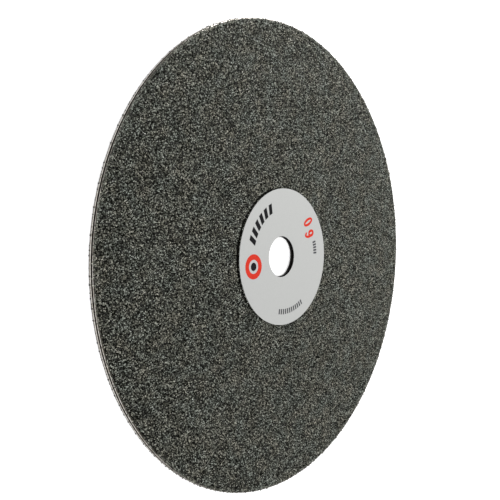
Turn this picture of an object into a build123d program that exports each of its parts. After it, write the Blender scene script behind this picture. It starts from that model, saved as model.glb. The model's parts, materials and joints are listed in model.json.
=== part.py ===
from build123d import *
import os

# A diamond-coated lapidary disc, in millimetres. It lies on its back: +Z is the spin axis and
# the coated face looks up. The origin is the centre of the bore on the back face, and +Y is
# the way up of the label's print.

# Driving dimensions
DISC_RADIUS = 75.0            # outside of the plated rim
ARBOR_RADIUS = 6.35           # for a half-inch arbor
RIM_PLATING = 0.3             # radial thickness of the nickel round the rim
BACK_PLATING = 0.05
CORE_THICKNESS = 1.05         # steel sheet
BOND_THICKNESS = 0.12         # nickel that the diamond stands in
GRIT_HEIGHT = 0.43            # diamond tips above the nickel
ADHESIVE_THICKNESS = 0.04
LABEL_THICKNESS = 0.13
INK_THICKNESS = 0.02

# Heights of the layers, from the back face upwards
CORE_Z = BACK_PLATING
BOND_Z = CORE_Z + CORE_THICKNESS
GRIT_Z = BOND_Z + BOND_THICKNESS
ADHESIVE_Z = GRIT_Z + GRIT_HEIGHT
LABEL_Z = ADHESIVE_Z + ADHESIVE_THICKNESS
INK_Z = LABEL_Z + LABEL_THICKNESS

# Edges and margins
CORE_RADIUS = DISC_RADIUS - RIM_PLATING
BORE_FRONT_BREAK = 0.1        # chamfer on the bore's front edge
BORE_BACK_BREAK = 0.5         # broken back edge of the punched bore
COATING_HOLE_RADIUS = 6.75    # the coating stops just short of the bore
RIM_START_Z = 0.1             # the rim plating clears the face that the disc rests on
RIM_LAND_Z = GRIT_Z + 0.18    # top of the bead of nickel along the front corner
RIM_CORNER = 0.1              # rounding of the plated corners
RIM_GROOVE_Z = 1.1            # the groove that sets the bead off from the wall
RIM_GROOVE_WIDTH = 0.26
RIM_GROOVE_DEPTH = 0.22

# Label, stuck slightly off centre, with its hole punched on the bore
LABEL_RADIUS = 22.2
LABEL_HOLE_RADIUS = 6.6
LABEL_X = -0.06
LABEL_Y = -1.5
ADHESIVE_INSET = 0.15

# Loose diamond on the rim: one row on the front corner, a sparser one near the back edge
FRONT_CRYSTALS = 180
FRONT_CRYSTAL_WIDTH = 0.6
FRONT_CRYSTAL_HEIGHT = 0.5
BACK_CRYSTALS = 72
BACK_CRYSTAL_WIDTH = 0.4
BACK_CRYSTAL_Z = 0.45
CRYSTAL_STANDOUT = 0.2        # how far either row stands out past the rim

# Print, as radii from the label's centre and angles from +X
TITLE_RADIUS = 17.0
TITLE_START = 72.2
TITLE_STEP = -8.9
TITLE_STROKES = 6
STROKE_WIDTH = 1.65
STROKE_HEIGHT = 3.1
STROKE_SLANT = 0.9
EMBLEM_X = -3.0
EMBLEM_Y = 15.5
EMBLEM_RADIUS = 3.9
EMBLEM_HOLE_RADIUS = 2.2
EMBLEM_DOT_RADIUS = 1.3
SIX_PLACE = (7.7, -13.2)
SIX_TURN = 17.0
ZERO_PLACE = (11.7, -12.3)
ZERO_TURN = 27.0
DIGIT_HALF_WIDTH = 1.25
DIGIT_HALF_HEIGHT = 2.5
DIGIT_STROKE = 0.85
FIELD_MARK_WIDTH = 0.6
FIELD_MARK_HEIGHT = 1.7
LONG_FIELD_RADIUS = 17.9
LONG_FIELD_TURNS = [173.4 + 3.5 * i for i in range(12)]
SHORT_FIELD_RADIUS = 16.8
SHORT_FIELD_TURNS = [-85.5 + 3.2 * i for i in range(5)]


def ring(outer, inner, z, thickness, x=0.0, y=0.0):
    """Flat ring with its outline centred on x, y and its hole on the bore."""
    outline = Pos(x, y) * Circle(outer) - Circle(inner)
    return Pos(0, 0, z) * extrude(outline, amount=thickness)


def circles(solid, radius):
    """Circular edges of one radius, lowest first."""
    found = [e for e in solid.edges().filter_by(GeomType.CIRCLE) if abs(e.radius - radius) < 1e-3]
    return ShapeList(found).sort_by(Axis.Z)


def steel_core():
    core = ring(CORE_RADIUS, ARBOR_RADIUS, CORE_Z, CORE_THICKNESS)
    core = chamfer(circles(core, ARBOR_RADIUS)[-1], BORE_FRONT_BREAK)
    return chamfer(circles(core, ARBOR_RADIUS)[0], BORE_BACK_BREAK)


def back_plating():
    return ring(CORE_RADIUS, COATING_HOLE_RADIUS, 0, BACK_PLATING)


def rim_plating():
    """Band round the rim, with a V groove below the bead along its front edge."""
    band = ring(DISC_RADIUS, CORE_RADIUS, RIM_START_Z, RIM_LAND_Z - RIM_START_Z)
    band = fillet(circles(band, DISC_RADIUS), RIM_CORNER)
    mouth = DISC_RADIUS + RIM_GROOVE_DEPTH
    notch = Polyline(
        (DISC_RADIUS - RIM_GROOVE_DEPTH, RIM_GROOVE_Z),
        (mouth, RIM_GROOVE_Z - RIM_GROOVE_WIDTH),
        (mouth, RIM_GROOVE_Z + RIM_GROOVE_WIDTH),
        close=True,
    )
    return band - revolve(make_face(Plane.XZ * notch), Axis.Z)


def front_bond():
    return ring(CORE_RADIUS, COATING_HOLE_RADIUS, BOND_Z, BOND_THICKNESS)


def diamond_grit():
    return ring(CORE_RADIUS, COATING_HOLE_RADIUS, GRIT_Z, GRIT_HEIGHT)


def crystal(profile, width):
    """Prism-shaped crystal from a radius and height profile, centred on +X."""
    outline = Plane.XZ * Polyline(*profile, close=True)
    return extrude(make_face(outline), amount=width / 2, both=True)


def crystal_row(one, count):
    return Compound([Rot(0, 0, 360 / count * i) * one for i in range(count)])


def rim_grit():
    foot = CORE_RADIUS + 0.02
    profile = [
        (foot, RIM_LAND_Z),
        (DISC_RADIUS - RIM_CORNER / 2, RIM_LAND_Z),
        (DISC_RADIUS + CRYSTAL_STANDOUT, RIM_LAND_Z + FRONT_CRYSTAL_HEIGHT / 2),
        (DISC_RADIUS - RIM_CORNER / 2, RIM_LAND_Z + FRONT_CRYSTAL_HEIGHT),
        (foot, RIM_LAND_Z + FRONT_CRYSTAL_HEIGHT * 0.8),
    ]
    return crystal_row(crystal(profile, FRONT_CRYSTAL_WIDTH), FRONT_CRYSTALS)


def back_edge_grit():
    half = BACK_CRYSTAL_WIDTH / 2
    profile = [
        (DISC_RADIUS, BACK_CRYSTAL_Z - half),
        (DISC_RADIUS + CRYSTAL_STANDOUT, BACK_CRYSTAL_Z),
        (DISC_RADIUS, BACK_CRYSTAL_Z + half),
    ]
    return crystal_row(crystal(profile, BACK_CRYSTAL_WIDTH), BACK_CRYSTALS)


def label_adhesive():
    outer = LABEL_RADIUS - ADHESIVE_INSET
    inner = LABEL_HOLE_RADIUS + ADHESIVE_INSET
    return ring(outer, inner, ADHESIVE_Z, ADHESIVE_THICKNESS, LABEL_X, LABEL_Y)


def label_face():
    return ring(LABEL_RADIUS, LABEL_HOLE_RADIUS, LABEL_Z, LABEL_THICKNESS, LABEL_X, LABEL_Y)


def printed(shapes):
    """Ink on the label from sketches drawn about the label's centre."""
    place = Pos(LABEL_X, LABEL_Y, INK_Z)
    return Compound([place * extrude(shape, amount=INK_THICKNESS) for shape in shapes])


def title_stroke():
    half_w = STROKE_WIDTH / 2
    half_h = STROKE_HEIGHT / 2
    corners = [
        (-half_w - STROKE_SLANT / 2, -half_h),
        (half_w - STROKE_SLANT / 2, -half_h),
        (half_w + STROKE_SLANT / 2, half_h),
        (-half_w + STROKE_SLANT / 2, half_h),
    ]
    return make_face(Polyline(*corners, close=True))


def print_title_strokes():
    stroke = Pos(0, TITLE_RADIUS) * title_stroke()
    turns = [TITLE_START + TITLE_STEP * i - 90 for i in range(TITLE_STROKES)]
    return printed([Rot(0, 0, turn) * stroke for turn in turns])


def print_emblem_ring():
    band = Circle(EMBLEM_RADIUS) - Circle(EMBLEM_HOLE_RADIUS)
    return printed([Pos(EMBLEM_X, EMBLEM_Y) * band])


def print_emblem_dot():
    return printed([Pos(EMBLEM_X, EMBLEM_Y) * Circle(EMBLEM_DOT_RADIUS)])


def digit_zero():
    hole = Ellipse(DIGIT_HALF_WIDTH - DIGIT_STROKE, DIGIT_HALF_HEIGHT - DIGIT_STROKE)
    return Ellipse(DIGIT_HALF_WIDTH, DIGIT_HALF_HEIGHT) - hole


def digit_six():
    left_side = Pos(-DIGIT_HALF_WIDTH, 0) * Rectangle(DIGIT_HALF_WIDTH * 2, DIGIT_HALF_HEIGHT * 2)
    top_end = Pos(0, DIGIT_HALF_HEIGHT) * Rectangle(DIGIT_HALF_WIDTH * 1.5, DIGIT_HALF_HEIGHT)
    stem = digit_zero() & (left_side + top_end)
    bowl_height = DIGIT_HALF_HEIGHT * 0.62
    bowl = Ellipse(DIGIT_HALF_WIDTH, bowl_height)
    bowl -= Ellipse(DIGIT_HALF_WIDTH - DIGIT_STROKE, bowl_height - DIGIT_STROKE)
    return stem + Pos(0, bowl_height - DIGIT_HALF_HEIGHT) * bowl


def print_grit_number():
    six = Pos(*SIX_PLACE) * Rot(0, 0, SIX_TURN) * digit_six()
    zero = Pos(*ZERO_PLACE) * Rot(0, 0, ZERO_TURN) * digit_zero()
    return printed([six, zero])


def field_marks(radius, turns):
    mark = Pos(radius, 0) * Rectangle(FIELD_MARK_HEIGHT, FIELD_MARK_WIDTH)
    return [Rot(0, 0, turn) * mark for turn in turns]


def print_field_marks():
    long_field = field_marks(LONG_FIELD_RADIUS, LONG_FIELD_TURNS)
    short_field = field_marks(SHORT_FIELD_RADIUS, SHORT_FIELD_TURNS)
    return printed(long_field + short_field)


SUB_PARTS = [
    steel_core,
    back_plating,
    rim_plating,
    front_bond,
    diamond_grit,
    rim_grit,
    back_edge_grit,
    label_adhesive,
    label_face,
    print_title_strokes,
    print_emblem_ring,
    print_emblem_dot,
    print_grit_number,
    print_field_marks,
]

os.makedirs("parts", exist_ok=True)
for sub_part in SUB_PARTS:
    export_step(sub_part(), f"parts/{sub_part.__name__}.step")
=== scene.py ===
import json
import math

import bmesh
import bpy
import numpy as np
from mathutils import Matrix, Vector


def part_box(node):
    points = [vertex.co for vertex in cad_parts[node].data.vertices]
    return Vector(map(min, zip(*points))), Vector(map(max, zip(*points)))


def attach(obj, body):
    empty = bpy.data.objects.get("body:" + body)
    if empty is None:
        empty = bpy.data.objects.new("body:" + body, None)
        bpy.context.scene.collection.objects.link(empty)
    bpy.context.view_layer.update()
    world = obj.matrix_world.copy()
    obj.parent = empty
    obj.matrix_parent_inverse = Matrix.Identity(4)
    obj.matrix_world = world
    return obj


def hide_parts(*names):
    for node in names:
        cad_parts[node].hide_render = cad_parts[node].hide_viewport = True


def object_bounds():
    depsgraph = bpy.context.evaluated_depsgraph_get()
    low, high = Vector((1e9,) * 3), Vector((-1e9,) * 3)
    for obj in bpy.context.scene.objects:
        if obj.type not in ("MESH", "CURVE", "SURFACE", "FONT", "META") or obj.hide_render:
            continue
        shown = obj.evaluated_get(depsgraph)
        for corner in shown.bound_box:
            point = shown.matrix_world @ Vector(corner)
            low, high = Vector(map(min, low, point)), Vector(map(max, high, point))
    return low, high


# A diamond-coated lapidary disc on a pale floor, in metres, in the frame of the CAD model.
# The grit, the bead of nickel round the rim and the loose diamond are built here; the blank,
# its plating, the label and its print are the CAD nodes with their materials.
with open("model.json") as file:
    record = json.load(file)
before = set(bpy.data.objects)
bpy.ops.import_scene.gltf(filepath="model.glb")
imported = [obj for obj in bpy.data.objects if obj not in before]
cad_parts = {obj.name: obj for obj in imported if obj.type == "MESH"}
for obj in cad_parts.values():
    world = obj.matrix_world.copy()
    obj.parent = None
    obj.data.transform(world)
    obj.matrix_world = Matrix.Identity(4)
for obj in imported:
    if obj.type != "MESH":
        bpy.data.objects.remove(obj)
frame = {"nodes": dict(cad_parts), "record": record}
cad_low, cad_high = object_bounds()
rng = np.random.default_rng(60)
MM = 0.001

# Sizes that come from the frame
BOND_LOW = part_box("front_bond")[0].z
BOND_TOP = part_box("front_bond")[1].z
FACE_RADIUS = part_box("front_bond")[1].x
GRIT_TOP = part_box("diamond_grit")[1].z
RIM_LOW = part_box("rim_plating")[0].z
DISC_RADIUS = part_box("rim_plating")[1].x
REACH = cad_high.x
TOP = cad_high.z
COATING_HOLE = 6.75 * MM          # the coating stops just short of the bore
LABEL_LOW, LABEL_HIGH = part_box("label_face")
LABEL_CENTRE = np.array((LABEL_LOW + LABEL_HIGH).xy) / 2
LABEL_RADIUS = (LABEL_HIGH.x - LABEL_LOW.x) / 2

# Camera and floor; the camera lies on its side, with +X up
CAMERA_PLACE = Vector((0.0072, 0.1851, 0.1471))
CAMERA_AIM = Vector((0.0021, 0.0138, 0.0))
CAMERA_UP = Vector((1.0, -0.0016, -0.0353))
CAMERA_LENS = 52.28
FLOOR_HALF = 40.0
FLOOR_Z = cad_low.z - 0.05 * MM
FLOOR_WHITE = (0.88, 0.88, 0.88, 1)
FLOOR_GLOW = 0.45                 # lit from below, as a light table is

# Light: a dome that is brightest toward one side, and one near softbox
DOME_TOP = Vector((-0.62, 0.45, 0.64)).normalized()
DOME_CURVE = 4.5
DOME_LOW = 0.20
DOME_HIGH = 2.3
KEY_PLACE = Vector((0.34, -0.20, 0.16))
KEY_SIZE = 0.2
KEY_POWER = 2.0

# Grit on the face
GRAIN_SPACING = 0.45 * MM
GRAIN_JITTER = 0.30               # as a share of the spacing
GRAIN_GAPS = 0.12                 # share of the places left empty
GRAIN_RADIUS = (0.17 * MM, 0.29 * MM)
GRAIN_LIFT = (0.00 * MM, 0.14 * MM)
FACE_PIECES = 6                   # sectors, which keep each mesh small
LABEL_SHADOW_BARE_OFFSET = np.array((0.2, 0.9)) * MM  # bare black bond beside the label's near edge, a painted shadow of the label

# Crystals, before they are scaled
CRYSTAL_SHAPES = 24
CRYSTAL_STRETCH = (0.75, 1.1)
CRYSTAL_UNEVENNESS = 0.22
CRYSTAL_EXTRA_CORNERS = 2

# Plated rim as steps inwards from the rim and heights, in mm, and how dark it is, partly tarnish and
# partly painted shade: the wall with its lip, painted dark at its foot, the groove, painted near black
# as its shade, and the bead, painted dark under its grains
WALL_PROFILE = [
    (0.30, 0.12, 1.0), (0.10, 0.12, 1.0), (0.02, 0.16, 1.0), (0.00, 0.32, 0.9), (0.00, 0.46, 0.5),
    (0.01, 0.58, 0.1), (0.02, 0.74, 0.1), (0.05, 0.82, 0.3), (0.10, 0.85, 0.9), (0.14, 0.80, 1.0),
    (0.17, 0.58, 1.0), (0.28, 0.60, 1.0), (0.30, 1.22, 1.0),
]
BEAD_PROFILE = [
    (0.25, 1.24, 1.0), (0.17, 1.30, 0.5), (0.18, 1.38, 0.3), (0.25, 1.43, 0.2), (0.34, 1.44, 0.4),
    (0.43, 1.40, 0.9), (0.55, 1.33, 0.9), (0.70, 1.27, 0.9), (0.86, 1.225, 0.9), (0.70, 1.20, 1.0),
    (0.45, 1.20, 1.0),
]
SKIRT_START = 0.4 * MM            # inside this the bead thins out over the face
RIM_TURNS = 2880
RIM_WAVES = (433, 311, 197, 89)
WALL_RIPPLE = 0.012 * MM
BEAD_RIPPLE = 0.035 * MM
BARE_ANGLE = math.radians(118)    # where the grit stops short of the bead
BARE_SPREAD = math.radians(20)
BARE_INNER = DISC_RADIUS - 1.2 * MM
BARE_SHARE = 0.85                 # share of the grains that are missing there
BARE_REACH = 0.25                 # how much wider the bead's skirt is there
BARE_SHINE = 0.4                  # how much less tarnish and painted shade there

# Rows of grains on the front corner: spacing, step inwards from the rim and height above the nickel,
# in mm, then the share kept and how much of that is missing where the grit stops short
CORNER_ROWS = [
    (0.44, 0.84, 0.12, 0.95, 0.70),
    (0.46, 0.52, 0.18, 0.85, 0.60),
    (0.55, 0.22, 0.24, 0.40, 0.30),
]
CORNER_GRAIN_RADIUS = (0.18 * MM, 0.28 * MM)
ROW_JITTER = 0.4                  # along the rim, as a share of the spacing
ROW_SPREAD = 0.1 * MM             # in and out
ROW_RISE = 0.06 * MM              # up and down

# Stray grains near the back edge, their tone scaled towards black as painted shade
STRAY_SPACING = 1.7 * MM
STRAY_RADIUS = DISC_RADIUS - 0.02 * MM
STRAY_HEIGHT = RIM_LOW + 0.22 * MM
STRAY_KEPT = 0.85
STRAY_GRAIN_RADIUS = (0.22 * MM, 0.34 * MM)
STRAY_PAINTED_SHADE = 0.1


def crystal_shape():
    """Vertices and triangles of one blocky crystal of about unit radius."""
    corners = np.vstack([np.eye(3)[axis] * sign for axis in range(3) for sign in (1, -1)])
    extra = rng.normal(size=(CRYSTAL_EXTRA_CORNERS, 3))
    extra /= np.linalg.norm(extra, axis=1)[:, None]
    points = np.vstack([corners * rng.uniform(*CRYSTAL_STRETCH, (len(corners), 1)), extra])
    points += rng.uniform(-CRYSTAL_UNEVENNESS, CRYSTAL_UNEVENNESS, points.shape)
    shape = bmesh.new()
    for point in points:
        shape.verts.new(point)
    hull = bmesh.ops.convex_hull(shape, input=shape.verts)
    unused = {v for key in ("geom_interior", "geom_unused") for v in hull[key]
              if isinstance(v, bmesh.types.BMVert)}
    for vert in unused:
        shape.verts.remove(vert)
    bmesh.ops.triangulate(shape, faces=shape.faces)
    bmesh.ops.recalc_face_normals(shape, faces=shape.faces)
    shape.verts.index_update()
    verts = np.array([v.co for v in shape.verts])
    faces = np.array([[v.index for v in f.verts] for f in shape.faces])
    shape.free()
    return verts, faces


def random_turns(count):
    """Random rotation matrices, from random unit quaternions."""
    q = rng.normal(size=(count, 4))
    q /= np.linalg.norm(q, axis=1)[:, None]
    w, x, y, z = q.T
    rows = [
        [1 - 2 * (y * y + z * z), 2 * (x * y - z * w), 2 * (x * z + y * w)],
        [2 * (x * y + z * w), 1 - 2 * (x * x + z * z), 2 * (y * z - x * w)],
        [2 * (x * z - y * w), 2 * (y * z + x * w), 1 - 2 * (x * x + y * y)],
    ]
    return np.moveaxis(np.array(rows), 2, 0)


def grains(shapes, centres, radii):
    """Vertices, triangles and shade of crystals, one at each centre, turned at random."""
    picks = rng.integers(len(shapes), size=len(centres))
    turns = random_turns(len(centres))
    shades = rng.random(len(centres))
    verts, faces, shade, base = [], [], [], 0
    for index, (shape, triangles) in enumerate(shapes):
        here = np.flatnonzero(picks == index)
        placed = np.einsum("nij,vj->nvi", turns[here], shape) * radii[here, None, None]
        placed += centres[here, None, :]
        starts = base + np.arange(len(here)) * len(shape)
        verts.append(placed.reshape(-1, 3))
        faces.append((triangles[None] + starts[:, None, None]).reshape(-1, 3))
        shade.append(np.repeat(shades[here], len(shape)))
        base += len(here) * len(shape)
    return np.vstack(verts), np.vstack(faces), np.concatenate(shade)


def mesh_object(name, verts, faces, shade, smooth=False):
    """A mesh from arrays of vertices and equal-sided faces, mapped flat from above for baking."""
    mesh = bpy.data.meshes.new(name)
    sides = faces.shape[1]
    mesh.vertices.add(len(verts))
    mesh.vertices.foreach_set("co", verts.astype(np.float32).ravel())
    mesh.loops.add(faces.size)
    mesh.loops.foreach_set("vertex_index", faces.astype(np.int32).ravel())
    mesh.polygons.add(len(faces))
    mesh.polygons.foreach_set("loop_start", np.arange(len(faces), dtype=np.int32) * sides)
    mesh.update(calc_edges=True)
    mesh.validate()
    if not smooth:
        mesh.shade_flat()
    own = mesh.attributes.new("Shade", "FLOAT", "POINT")
    own.data.foreach_set("value", shade.astype(np.float32))
    layer = mesh.uv_layers.new(name="OFBake")
    flat = (verts[faces.ravel(), :2] / REACH + 1) / 2
    layer.data.foreach_set("uv", flat.astype(np.float32).ravel())
    piece = bpy.data.objects.new(name, mesh)
    bpy.context.scene.collection.objects.link(piece)
    return piece


# Materials

def node(tree, kind, inputs=None, **settings):
    made = tree.nodes.new(kind)
    for name, value in settings.items():
        setattr(made, name, value)
    for name, value in (inputs or {}).items():
        made.inputs[name].default_value = value
    return made


def new_material(name, **sockets):
    """A material, its node tree and its shader with constants on the shader's own sockets."""
    material = bpy.data.materials.new(name)
    material.use_nodes = True
    shader = material.node_tree.nodes["Principled BSDF"]
    for socket, value in sockets.items():
        shader.inputs[socket.replace("_", " ")].default_value = value
    return material, material.node_tree, shader


def noise(tree, size, detail=3.0, stretch=(1, 1, 1)):
    """Noise with features of about size metres, stretched along an axis where given."""
    place = node(tree, "ShaderNodeTexCoord")
    scale = node(tree, "ShaderNodeMapping", {"Scale": [1 / s for s in stretch]})
    made = node(tree, "ShaderNodeTexNoise", {"Scale": 1 / size, "Detail": detail})
    tree.links.new(place.outputs["Object"], scale.inputs["Vector"])
    tree.links.new(scale.outputs["Vector"], made.inputs["Vector"])
    return made.outputs["Fac"]


def colours(tree, value, *stops):
    """Colour ramp from (position, colour) stops."""
    ramp = node(tree, "ShaderNodeValToRGB")
    elements = ramp.color_ramp.elements
    while len(elements) < len(stops):
        elements.new(0.5)
    for element, (position, colour) in zip(elements, stops):
        element.position = position
        element.color = (*colour, 1)
    tree.links.new(value, ramp.inputs["Fac"])
    return ramp.outputs["Color"]


def span(tree, value, low, high):
    """A noise value, which keeps near a half, spread from low to high."""
    made = node(tree, "ShaderNodeMapRange", {"From Min": 0.3, "From Max": 0.7})
    made.inputs["To Min"].default_value = low
    made.inputs["To Max"].default_value = high
    tree.links.new(value, made.inputs["Value"])
    return made.outputs["Result"]


def bump(tree, shader, value, strength, depth):
    made = node(tree, "ShaderNodeBump", {"Strength": strength, "Distance": depth})
    tree.links.new(value, made.inputs["Height"])
    tree.links.new(made.outputs["Normal"], shader.inputs["Normal"])


def metal(name, dark, light, rough, grain, depth, stretch=(1, 1, 1)):
    """A metal whose colour, roughness and fine relief follow one grain size."""
    material, tree, shader = new_material(name, Metallic=1.0)
    pattern = noise(tree, grain, 4.0, stretch)
    tree.links.new(colours(tree, pattern, (0.3, dark), (0.7, light)), shader.inputs["Base Color"])
    tree.links.new(span(tree, noise(tree, grain * 3, 2.0, stretch), *rough), shader.inputs["Roughness"])
    bump(tree, shader, pattern, 1.0, depth)
    return material


def rim_material():
    """Glossy nickel that turns brown and then dark where its tarnish and painted shade are high."""
    material, tree, shader = new_material("rim_nickel", Metallic=1.0)
    tarnish_and_painted_shade = node(tree, "ShaderNodeAttribute", attribute_name="Shade").outputs["Fac"]
    blotch = span(tree, noise(tree, 0.6 * MM, 4.0), -0.25, 0.25)
    sum_up = node(tree, "ShaderNodeMath", operation="ADD", use_clamp=True)
    tree.links.new(tarnish_and_painted_shade, sum_up.inputs[0])
    tree.links.new(blotch, sum_up.inputs[1])
    # tarnish plus painted shade, blotched at random
    blotched_tarnish_and_painted_shade = sum_up.outputs["Value"]
    body = colours(
        tree, blotched_tarnish_and_painted_shade, (0.0, (0.52, 0.50, 0.475)), (0.15, (0.44, 0.42, 0.395)),
        (0.4, (0.28, 0.257, 0.22)), (0.6, (0.17, 0.152, 0.122)), (1.0, (0.012, 0.011, 0.010)),
    )
    tree.links.new(body, shader.inputs["Base Color"])
    rough = node(tree, "ShaderNodeMapRange", {"To Min": 0.12, "To Max": 0.45})
    tree.links.new(blotched_tarnish_and_painted_shade, rough.inputs["Value"])
    tree.links.new(rough.outputs["Result"], shader.inputs["Roughness"])
    bump(tree, shader, noise(tree, 0.5 * MM, 4.0), 1.0, 0.02 * MM)
    return material


def diamond_material():
    """Grains from near black through grey-green to pale, a little browner or bluer in patches."""
    material, tree, shader = new_material("diamond_grit", Specular_IOR_Level=0.5)
    own = node(tree, "ShaderNodeAttribute", attribute_name="Shade").outputs["Fac"]
    body = colours(
        tree, own, (0.0, (0.002, 0.002, 0.001)), (0.25, (0.022, 0.023, 0.016)),
        (0.5, (0.085, 0.087, 0.071)), (0.8, (0.205, 0.210, 0.185)), (1.0, (0.39, 0.395, 0.36)),
    )
    drift = noise(tree, 5 * MM, 4.0)
    patch = colours(tree, drift, (0.35, (1.02, 0.975, 0.88)), (0.65, (0.94, 1.01, 0.985)))
    tint = node(tree, "ShaderNodeMix", {"Factor": 1.0}, data_type="RGBA", blend_type="MULTIPLY")
    tree.links.new(body, tint.inputs["A"])
    tree.links.new(patch, tint.inputs["B"])
    tree.links.new(tint.outputs["Result"], shader.inputs["Base Color"])
    tree.links.new(span(tree, own, 0.60, 0.35), shader.inputs["Roughness"])
    return material


def printed_material(name, dark, light, rough, gloss=0.5):
    """Ink or paper: a flat colour broken by fine mottle, with a faint surface."""
    material, tree, shader = new_material(name, Specular_IOR_Level=gloss)
    mottle = noise(tree, 0.35 * MM, 4.0)
    tree.links.new(colours(tree, mottle, (0.35, dark), (0.65, light)), shader.inputs["Base Color"])
    tree.links.new(span(tree, noise(tree, 1.6 * MM), *rough), shader.inputs["Roughness"])
    bump(tree, shader, noise(tree, 0.9 * MM, 2.0), 0.5, 0.01 * MM)
    return material


INK_ROUGH = (0.4, 0.55)
INK_GLOSS = 0.12
MATERIALS = {
    # The core steel is near black: painted shade on the bore's wall.
    "steel": metal(
        "core_steel_painted_shade", (0.004, 0.004, 0.004), (0.012, 0.011, 0.011), (0.4, 0.6), 0.25 * MM, 0.01 * MM,
    ),
    "nickel_back": metal(
        "back_nickel", (0.50, 0.49, 0.46), (0.64, 0.62, 0.59), (0.22, 0.38), 0.3 * MM, 0.004 * MM,
        (1, 12, 1),
    ),
    "nickel_rim": rim_material(),
    # The nickel bond is near black: painted shade in the pits between the grains.
    "nickel_bond": metal(
        "bond_nickel_painted_shade", (0.004, 0.004, 0.003), (0.014, 0.015, 0.012), (0.5, 0.7), 0.2 * MM, 0.05 * MM,
    ),
    "diamond": diamond_material(),
    "adhesive": printed_material(
        "label_adhesive", (0.42, 0.41, 0.37), (0.52, 0.51, 0.47), (0.3, 0.5),
    ),
    "label": printed_material(
        "label_stock", (0.42, 0.425, 0.415), (0.44, 0.445, 0.435), (0.45, 0.60),
    ),
    "ink_black": printed_material(
        "ink_black", (0.004, 0.004, 0.005), (0.012, 0.012, 0.013), INK_ROUGH, INK_GLOSS,
    ),
    "ink_red": printed_material(
        "ink_red", (0.50, 0.026, 0.014), (0.60, 0.042, 0.022), INK_ROUGH, INK_GLOSS,
    ),
    "ink_grey": printed_material(
        "ink_grey", (0.05, 0.05, 0.055), (0.09, 0.09, 0.095), INK_ROUGH, INK_GLOSS,
    ),
}


def dress_cad_nodes():
    slots = {part["node"]: part["material_slot"] for part in frame["record"]["subparts"]}
    for name, part in frame["nodes"].items():
        part.data.materials.clear()
        part.data.materials.append(MATERIALS[slots[name]])


# Pieces

def add_piece(piece, slot, replaced):
    piece.data.materials.append(MATERIALS[slot])
    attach(piece, "root")
    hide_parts(replaced)


def bareness(angle):
    """From 0 to 1, how far the grit is missing beside the bead at an angle round the rim."""
    away = (angle - BARE_ANGLE + math.pi) % math.tau - math.pi
    return BARE_SHARE * np.exp(-((away / BARE_SPREAD) ** 4))


def face_centres():
    """Centres of the face's grains: a jittered triangular grid with gaps."""
    rows = int(FACE_RADIUS / GRAIN_SPACING / math.sqrt(0.75)) + 1
    steps = np.arange(-rows, rows + 1)
    column, row = np.meshgrid(steps, steps)
    x = (column + row % 2 / 2) * GRAIN_SPACING
    y = row * math.sqrt(0.75) * GRAIN_SPACING
    points = np.stack([x.ravel(), y.ravel()], axis=1)
    points += rng.uniform(-GRAIN_JITTER, GRAIN_JITTER, points.shape) * GRAIN_SPACING
    distance = np.linalg.norm(points, axis=1)
    kept = (distance > COATING_HOLE + GRAIN_RADIUS[0]) & (distance < FACE_RADIUS - GRAIN_RADIUS[1])
    kept &= rng.random(len(points)) > GRAIN_GAPS
    angle = np.arctan2(points[:, 1], points[:, 0])
    kept &= (distance < BARE_INNER) | (rng.random(len(points)) > bareness(angle))
    # Grains are left out beside the label's near edge, so the near-black bond paints the label's shadow
    # there.
    from_label = points - LABEL_CENTRE
    under_label = np.linalg.norm(from_label, axis=1) < LABEL_RADIUS
    in_painted_label_shadow = np.linalg.norm(from_label - LABEL_SHADOW_BARE_OFFSET, axis=1) < LABEL_RADIUS
    kept &= under_label | ~in_painted_label_shadow
    return points[kept]


def face_grit(shapes):
    centres = face_centres()
    lift = rng.uniform(*GRAIN_LIFT, len(centres))
    centres = np.column_stack([centres, BOND_TOP + lift])
    radii = rng.uniform(*GRAIN_RADIUS, len(centres))
    sector = (np.arctan2(centres[:, 1], centres[:, 0]) / math.tau * FACE_PIECES) % FACE_PIECES
    for index in range(FACE_PIECES):
        here = sector.astype(int) == index
        verts, faces, shade = grains(shapes, centres[here], radii[here])
        verts[:, 2] = np.clip(verts[:, 2], BOND_LOW, GRIT_TOP)
        piece = mesh_object(f"face_grit_{index + 1}", verts, faces, shade)
        add_piece(piece, "diamond", "diamond_grit")


def ripple(angles, phase):
    """Uneven swelling round the rim, between -1 and 1."""
    return sum(np.sin(angles * wave + phase * wave) for wave in RIM_WAVES) / len(RIM_WAVES)


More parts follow.
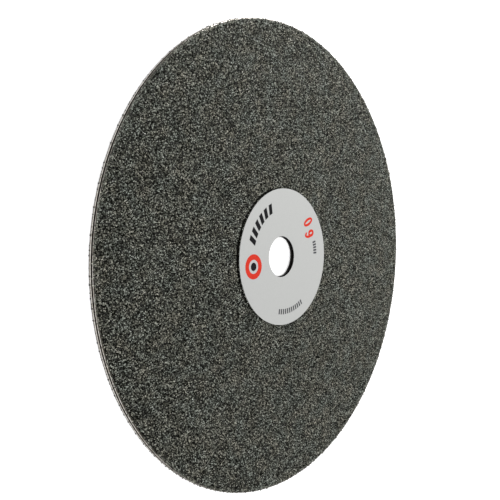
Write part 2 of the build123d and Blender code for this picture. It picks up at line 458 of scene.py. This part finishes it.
def rim_bead():
    """Plated rim: its wall, and past a groove the lumpy bead that rolls onto the face."""
    # The profile's third column darkens the nickel: tarnish, plus painted shade at the wall's foot, in
    # the groove and under the bead's grains.
    inwards, height, tarnish_and_painted_shade = np.array(WALL_PROFILE + BEAD_PROFILE).T
    inwards, height = inwards * MM, height * MM
    count = len(inwards)
    angles = np.arange(RIM_TURNS) / RIM_TURNS * math.tau
    bead = np.arange(count) >= len(WALL_PROFILE)
    skirt = inwards > SKIRT_START
    swell = np.array([ripple(angles, 1.0 + 0.3 * index) for index in range(count)]).T
    swell *= np.where(bead, BEAD_RIPPLE, WALL_RIPPLE)
    swell[:, skirt] = 0
    bare = bareness(angles)[:, None] * skirt
    tarnish_and_painted_shade = tarnish_and_painted_shade - BARE_SHINE * bare
    radius = DISC_RADIUS - inwards * (1 + BARE_REACH * bare) + swell
    height = height + np.where(bead, swell, 0)
    turned = [np.cos(angles)[:, None] * radius, np.sin(angles)[:, None] * radius, height]
    verts = np.stack(turned, axis=2).reshape(-1, 3)
    turn, step = np.meshgrid(np.arange(RIM_TURNS), np.arange(count), indexing="ij")
    here, ahead = turn * count, (turn + 1) % RIM_TURNS * count
    up = (step + 1) % count
    faces = np.stack([here + step, ahead + step, ahead + up, here + up], axis=2).reshape(-1, 4)
    piece = mesh_object("rim_bead", verts, faces, tarnish_and_painted_shade.ravel(), smooth=True)
    add_piece(piece, "nickel_rim", "rim_plating")


def rim_row(spacing, radius, height, keep, spare=0.0):
    """Centres of a jittered row of grains, thinned by spare where the grit stops short."""
    count = int(math.tau * DISC_RADIUS / spacing)
    angles = (np.arange(count) + rng.uniform(-ROW_JITTER, ROW_JITTER, count)) / count * math.tau
    angles = angles[rng.random(count) < keep - spare * bareness(angles)]
    r = radius + rng.uniform(-ROW_SPREAD, ROW_SPREAD, len(angles))
    z = height + rng.uniform(-ROW_RISE, ROW_RISE, len(angles))
    return np.column_stack([np.cos(angles) * r, np.sin(angles) * r, z])


def contain(verts):
    """Keeps grains inside the box of the CAD model."""
    r = np.linalg.norm(verts[:, :2], axis=1)
    verts[:, :2] *= np.minimum(1, REACH / r)[:, None]
    verts[:, 2] = np.clip(verts[:, 2], RIM_LOW, TOP)
    return verts


def rim_grit(shapes):
    centres = np.vstack([
        rim_row(spacing * MM, DISC_RADIUS - inwards * MM, BOND_TOP + height * MM, keep, spare)
        for spacing, inwards, height, keep, spare in CORNER_ROWS
    ])
    radii = rng.uniform(*CORNER_GRAIN_RADIUS, len(centres))
    verts, faces, shade = grains(shapes, centres, radii)
    piece = mesh_object("rim_corner_grit", contain(verts), faces, shade)
    add_piece(piece, "diamond", "rim_grit")


def back_edge_grit(shapes):
    centres = rim_row(STRAY_SPACING, STRAY_RADIUS, STRAY_HEIGHT, STRAY_KEPT)
    radii = rng.uniform(*STRAY_GRAIN_RADIUS, len(centres))
    verts, faces, shade = grains(shapes, centres, radii)
    # their tone is scaled towards black, as painted shade
    piece = mesh_object("back_edge_stray_grit", contain(verts), faces, shade * STRAY_PAINTED_SHADE)
    add_piece(piece, "diamond", "back_edge_grit")


# Stage

def floor():
    signs = ((-1, -1), (1, -1), (1, 1), (-1, 1))
    corners = [(x * FLOOR_HALF, y * FLOOR_HALF, FLOOR_Z) for x, y in signs]
    mesh = bpy.data.meshes.new("floor")
    mesh.from_pydata(corners, [], [(0, 1, 2, 3)])
    material, _, shader = new_material("floor_white", Roughness=0.9, Emission_Strength=FLOOR_GLOW)
    shader.inputs["Base Color"].default_value = FLOOR_WHITE
    shader.inputs["Emission Color"].default_value = FLOOR_WHITE
    mesh.materials.append(material)
    made = bpy.data.objects.new("floor", mesh)
    bpy.context.scene.collection.objects.link(made)


def softbox():
    light = bpy.data.lights.new("key", "AREA")
    light.shape = "SQUARE"
    light.size = KEY_SIZE
    light.energy = KEY_POWER
    made = bpy.data.objects.new("key", light)
    made.location = KEY_PLACE
    made.rotation_mode = "QUATERNION"
    made.rotation_quaternion = (-KEY_PLACE).to_track_quat("-Z", "Y")
    bpy.context.scene.collection.objects.link(made)


def dome():
    """A white world that is brightest toward DOME_TOP."""
    world = bpy.data.worlds.new("studio")
    world.use_nodes = True
    tree = world.node_tree
    place = node(tree, "ShaderNodeTexCoord")
    toward = node(tree, "ShaderNodeVectorMath", {1: DOME_TOP}, operation="DOT_PRODUCT")
    fall = node(tree, "ShaderNodeMapRange", {"From Min": -1.0})
    curve = node(tree, "ShaderNodeMath", {1: DOME_CURVE}, operation="POWER")
    level = node(tree, "ShaderNodeMapRange", {"To Min": DOME_LOW, "To Max": DOME_HIGH})
    tree.links.new(place.outputs["Generated"], toward.inputs[0])
    tree.links.new(toward.outputs["Value"], fall.inputs["Value"])
    tree.links.new(fall.outputs["Result"], curve.inputs[0])
    tree.links.new(curve.outputs["Value"], level.inputs["Value"])
    background = tree.nodes["Background"]
    background.inputs["Color"].default_value = (1, 1, 1, 1)
    tree.links.new(level.outputs["Result"], background.inputs["Strength"])
    bpy.context.scene.world = world


def camera():
    data = bpy.data.cameras.new("camera")
    data.lens = CAMERA_LENS
    data.clip_start = 0.01
    made = bpy.data.objects.new("camera", data)
    back = (CAMERA_PLACE - CAMERA_AIM).normalized()
    right = CAMERA_UP.cross(back).normalized()
    turn = Matrix((right, back.cross(right), back)).transposed()
    made.matrix_world = Matrix.Translation(CAMERA_PLACE) @ turn.to_4x4()
    bpy.context.scene.collection.objects.link(made)
    bpy.context.scene.camera = made


bpy.context.scene.view_settings.view_transform = "Standard"
camera()
dome()
softbox()
floor()
dress_cad_nodes()
SHAPES = [crystal_shape() for _ in range(CRYSTAL_SHAPES)]
rim_bead()
face_grit(SHAPES)
rim_grit(SHAPES)
back_edge_grit(SHAPES)
